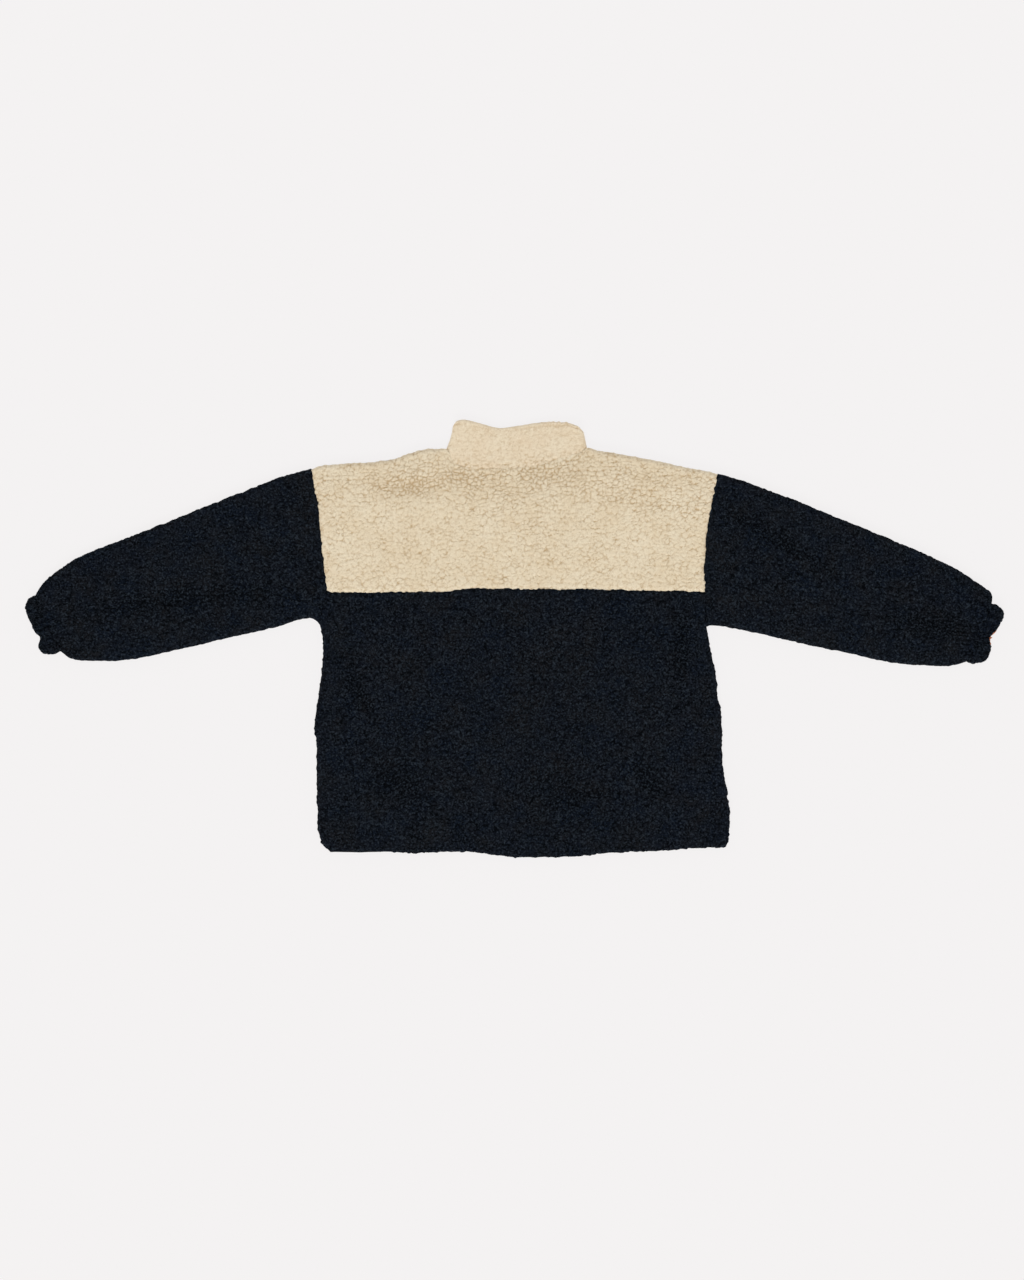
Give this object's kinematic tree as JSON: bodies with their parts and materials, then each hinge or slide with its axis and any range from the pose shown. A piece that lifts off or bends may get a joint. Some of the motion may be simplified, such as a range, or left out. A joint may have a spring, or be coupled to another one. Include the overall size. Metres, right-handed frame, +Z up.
{
  "type": "teddy jacket",
  "caption": "Child's teddy jacket in sherpa pile with a stand collar, dropped sleeves, elastic cuffs and a front zip, lying flat on its front.",
  "frame": {"origin": "middle of the outline, on the surface that the jacket lies on", "axes": "+X across the jacket towards the right hand sleeve as seen from behind, +Y from hem to collar, +Z up, away from the surface, out of the jacket's back"},
  "size_m": [1.0764, 0.4808, 0.0135],
  "materials": {
    "cream_sherpa": "cream sherpa, short curled pile, matt",
    "navy_sherpa": "very dark navy sherpa, short curled pile, matt",
    "zip_tape": "dark woven tape",
    "zip_metal": "dull dark metal",
    "rust_lining": "smooth rust coloured lining cloth"
  },
  "bodies": {
    "jacket": {"back_yoke": "cream_sherpa", "back_lower": "navy_sherpa", "front_yoke_left": "cream_sherpa", "front_yoke_right": "cream_sherpa", "front_lower_left": "navy_sherpa", "front_lower_right": "navy_sherpa", "sleeve_left": "navy_sherpa", "sleeve_right": "navy_sherpa", "cuff_left": "navy_sherpa", "cuff_right": "navy_sherpa", "collar": "cream_sherpa", "zip_tape_left": "zip_tape", "zip_tape_right": "zip_tape", "zip_slider": "zip_metal", "cuff_lining_right": "rust_lining"},
    "pull_tab": {"zip_pull": "zip_metal"}
  },
  "joints": [
    {"name": "pull_tab_hinge", "type": "hinge", "parent": "jacket", "child": "pull_tab", "pos_m": [0.006, 0.171, 0.0017], "axis": [1, 0, 0], "range_deg": [0, 170]}
  ]
}
